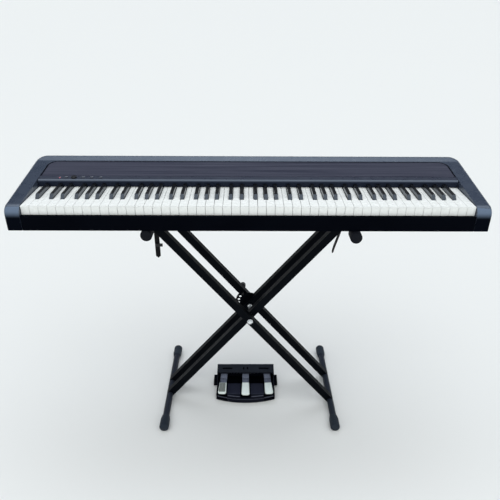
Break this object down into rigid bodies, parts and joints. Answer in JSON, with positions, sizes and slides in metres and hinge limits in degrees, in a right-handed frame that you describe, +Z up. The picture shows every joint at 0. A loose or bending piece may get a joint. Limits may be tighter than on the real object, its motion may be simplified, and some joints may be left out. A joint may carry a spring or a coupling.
{
  "type": "digital piano on stand",
  "caption": "Full-size slab digital piano with a sloping deck, resting on a double-braced folding X stand, with a free-standing pedal unit on the floor between the legs.",
  "frame": {"origin": "on the floor in the middle of the stand's feet, below the middle of the keyboard", "axes": "+X to the treble end, +Y to the rear, +Z up"},
  "size_m": [1.316, 0.414, 0.8258],
  "materials": {
    "case_plastic": "fine-grained satin moulding",
    "panel_plastic": "matt panel with faint streaks along its length",
    "strip_plastic": "satin with a rolled front lip",
    "circuit_board": "solder-masked board",
    "led_lens": "clear red lens",
    "button_plastic": "satin",
    "knob_plastic": "gloss black",
    "frame_plastic": "unpainted moulding",
    "felt": "pressed felt",
    "speaker_plastic": "pressed basket and cone",
    "rubber": "matt",
    "cap_rubber": "matt moulded rubber",
    "bolt_steel": "zinc plated",
    "white_key": "polished acrylic",
    "black_key": "satin black",
    "tube_paint": "powder coat",
    "lock_knob": "moulded grip on a steel pin",
    "webbing": "woven webbing",
    "pedal_plastic": "satin moulding",
    "pedal_metal": "plated"
  },
  "bodies": {
    "inner_frame": {"inner_leg_front": "tube_paint", "inner_leg_rear": "tube_paint", "inner_top_arm": "tube_paint", "inner_foot_bar": "tube_paint", "inner_end_caps": "cap_rubber", "pivot_bolt": "bolt_steel", "pivot_nuts_washers": "bolt_steel", "lock_disc": "tube_paint", "strap_right": "webbing"},
    "outer_frame": {"outer_leg_front": "tube_paint", "outer_leg_rear": "tube_paint", "outer_top_arm": "tube_paint", "outer_foot_bar": "tube_paint", "outer_end_caps": "cap_rubber", "lock_housing": "tube_paint", "lock_spring": "bolt_steel", "strap_left": "webbing"},
    "lock_pin": {"lock_pin": "lock_knob"},
    "piano": {"upper_case": "case_plastic", "lower_case": "case_plastic", "front_rail": "case_plastic", "top_panel": "panel_plastic", "control_strip": "strip_plastic", "control_board": "circuit_board", "power_led": "led_lens", "key_frame": "frame_plastic", "key_pivot_rail": "frame_plastic", "key_stop_felt": "felt", "contact_board": "circuit_board", "main_board": "circuit_board", "speakers": "speaker_plastic", "case_feet": "rubber", "case_screws": "bolt_steel"},
    "volume_knob": {"volume_knob": "knob_plastic"},
    "pedal_unit": {"pedal_base": "pedal_plastic", "pedal_hood": "pedal_plastic", "pedal_axle": "bolt_steel", "pedal_feet": "rubber", "pedal_springs": "bolt_steel"},
    "power_button": {"power_button": "button_plastic"},
    "function_button_1": {"function_button_1": "button_plastic"},
    "function_button_2": {"function_button_2": "button_plastic"},
    "function_button_3": {"function_button_3": "button_plastic"},
    "white_key_c": {"white_key_c": "white_key"},
    "black_key_c_sharp": {"black_key_c_sharp": "black_key"},
    "white_key_d": {"white_key_d": "white_key"},
    "black_key_d_sharp": {"black_key_d_sharp": "black_key"},
    "white_key_e": {"white_key_e": "white_key"},
    "white_key_f": {"white_key_f": "white_key"},
    "black_key_f_sharp": {"black_key_f_sharp": "black_key"},
    "white_key_g": {"white_key_g": "white_key"},
    "black_key_g_sharp": {"black_key_g_sharp": "black_key"},
    "white_key_a": {"white_key_a": "white_key"},
    "black_key_a_sharp": {"black_key_a_sharp": "black_key"},
    "white_key_b": {"white_key_b": "white_key"},
    "white_keys": {"white_keys": "white_key"},
    "black_keys": {"black_keys": "black_key"},
    "pedal_left": {"pedal_left": "pedal_metal"},
    "pedal_middle": {"pedal_middle": "pedal_metal"},
    "pedal_right": {"pedal_right": "pedal_metal"}
  },
  "joints": [
    {"name": "stand_fold", "type": "hinge", "parent": "inner_frame", "child": "outer_frame", "pos_m": [0.006, 0, 0.35171], "axis": [0, 1, 0], "range_deg": [0, 74]},
    {"name": "piano_lift", "type": "slide", "parent": "inner_frame", "child": "piano", "axis": [0, 0, 1], "range_m": [0, 0.39]},
    {"name": "pedal_unit_slide", "type": "slide", "parent": "inner_frame", "child": "pedal_unit", "axis": [0, -1, 0], "range_m": [0, 0.65]},
    {"name": "lock_pull", "type": "slide", "parent": "outer_frame", "child": "lock_pin", "axis": [0, 1, 0], "range_m": [0, 0.007], "stiffness_N_per_m": 900, "springref_m": -0.006, "deforming": ["lock_spring"]},
    {"name": "volume_turn", "type": "hinge", "parent": "piano", "child": "volume_knob", "pos_m": [-0.509, 0, 0.80158], "axis": [0, -0.1444, 0.9895], "range_deg": [-150, 150]},
    {"name": "power_button_press", "type": "slide", "parent": "piano", "child": "power_button", "axis": [0, 0.1444, -0.9895], "range_m": [0, 0.0012], "stiffness_N_per_m": 800, "springref_m": -0.001},
    {"name": "function_button_1_press", "type": "slide", "parent": "piano", "child": "function_button_1", "axis": [0, 0.1444, -0.9895], "range_m": [0, 0.0012], "stiffness_N_per_m": 800, "springref_m": -0.001},
    {"name": "function_button_2_press", "type": "slide", "parent": "piano", "child": "function_button_2", "axis": [0, 0.1444, -0.9895], "range_m": [0, 0.0012], "stiffness_N_per_m": 800, "springref_m": -0.001},
    {"name": "function_button_3_press", "type": "slide", "parent": "piano", "child": "function_button_3", "axis": [0, 0.1444, -0.9895], "range_m": [0, 0.0012], "stiffness_N_per_m": 800, "springref_m": -0.001},
    {"name": "white_key_c_press", "type": "hinge", "parent": "piano", "child": "white_key_c", "pos_m": [0, 0.0525, 0.7523], "axis": [1, 0, 0], "range_deg": [0, 2.75], "stiffness_Nm_per_rad": 0.6, "springref_deg": -14.32},
    {"name": "black_key_c_sharp_press", "type": "hinge", "parent": "piano", "child": "black_key_c_sharp", "pos_m": [0, 0.0525, 0.7523], "axis": [1, 0, 0], "range_deg": [0, 2.75], "stiffness_Nm_per_rad": 0.6, "springref_deg": -14.32},
    {"name": "white_key_d_press", "type": "hinge", "parent": "piano", "child": "white_key_d", "pos_m": [0, 0.0525, 0.7523], "axis": [1, 0, 0], "range_deg": [0, 2.75], "stiffness_Nm_per_rad": 0.6, "springref_deg": -14.32},
    {"name": "black_key_d_sharp_press", "type": "hinge", "parent": "piano", "child": "black_key_d_sharp", "pos_m": [0, 0.0525, 0.7523], "axis": [1, 0, 0], "range_deg": [0, 2.75], "stiffness_Nm_per_rad": 0.6, "springref_deg": -14.32},
    {"name": "white_key_e_press", "type": "hinge", "parent": "piano", "child": "white_key_e", "pos_m": [0, 0.0525, 0.7523], "axis": [1, 0, 0], "range_deg": [0, 2.75], "stiffness_Nm_per_rad": 0.6, "springref_deg": -14.32},
    {"name": "white_key_f_press", "type": "hinge", "parent": "piano", "child": "white_key_f", "pos_m": [0, 0.0525, 0.7523], "axis": [1, 0, 0], "range_deg": [0, 2.75], "stiffness_Nm_per_rad": 0.6, "springref_deg": -14.32},
    {"name": "black_key_f_sharp_press", "type": "hinge", "parent": "piano", "child": "black_key_f_sharp", "pos_m": [0, 0.0525, 0.7523], "axis": [1, 0, 0], "range_deg": [0, 2.75], "stiffness_Nm_per_rad": 0.6, "springref_deg": -14.32},
    {"name": "white_key_g_press", "type": "hinge", "parent": "piano", "child": "white_key_g", "pos_m": [0, 0.0525, 0.7523], "axis": [1, 0, 0], "range_deg": [0, 2.75], "stiffness_Nm_per_rad": 0.6, "springref_deg": -14.32},
    {"name": "black_key_g_sharp_press", "type": "hinge", "parent": "piano", "child": "black_key_g_sharp", "pos_m": [0, 0.0525, 0.7523], "axis": [1, 0, 0], "range_deg": [0, 2.75], "stiffness_Nm_per_rad": 0.6, "springref_deg": -14.32},
    {"name": "white_key_a_press", "type": "hinge", "parent": "piano", "child": "white_key_a", "pos_m": [0, 0.0525, 0.7523], "axis": [1, 0, 0], "range_deg": [0, 2.75], "stiffness_Nm_per_rad": 0.6, "springref_deg": -14.32},
    {"name": "black_key_a_sharp_press", "type": "hinge", "parent": "piano", "child": "black_key_a_sharp", "pos_m": [0, 0.0525, 0.7523], "axis": [1, 0, 0], "range_deg": [0, 2.75], "stiffness_Nm_per_rad": 0.6, "springref_deg": -14.32},
    {"name": "white_key_b_press", "type": "hinge", "parent": "piano", "child": "white_key_b", "pos_m": [0, 0.0525, 0.7523], "axis": [1, 0, 0], "range_deg": [0, 2.75], "stiffness_Nm_per_rad": 0.6, "springref_deg": -14.32},
    {"name": "white_keys_press", "type": "hinge", "parent": "piano", "child": "white_keys", "pos_m": [0, 0.0525, 0.7523], "axis": [1, 0, 0], "range_deg": [0, 2.75], "stiffness_Nm_per_rad": 27, "springref_deg": -14.32},
    {"name": "black_keys_press", "type": "hinge", "parent": "piano", "child": "black_keys", "pos_m": [0, 0.0525, 0.7523], "axis": [1, 0, 0], "range_deg": [0, 2.75], "stiffness_Nm_per_rad": 18.6, "springref_deg": -14.32},
    {"name": "pedal_left_press", "type": "hinge", "parent": "pedal_unit", "child": "pedal_left", "pos_m": [-0.008, 0.04, 0.034], "axis": [1, 0, 0], "range_deg": [0, 6], "stiffness_Nm_per_rad": 10, "springref_deg": -8.59, "deforming": ["pedal_springs"]},
    {"name": "pedal_middle_press", "type": "hinge", "parent": "pedal_unit", "child": "pedal_middle", "pos_m": [-0.008, 0.04, 0.034], "axis": [1, 0, 0], "range_deg": [0, 6], "stiffness_Nm_per_rad": 10, "springref_deg": -8.59, "deforming": ["pedal_springs"]},
    {"name": "pedal_right_press", "type": "hinge", "parent": "pedal_unit", "child": "pedal_right", "pos_m": [-0.008, 0.04, 0.034], "axis": [1, 0, 0], "range_deg": [0, 6], "stiffness_Nm_per_rad": 10, "springref_deg": -8.59, "deforming": ["pedal_springs"]}
  ],
  "couplings": [
    {"joint": "piano_lift", "follows": "stand_fold", "m_per_rad": 0.3},
    {"joint": "pedal_unit_slide", "follows": "stand_fold", "m_per_rad": 0.5}
  ]
}
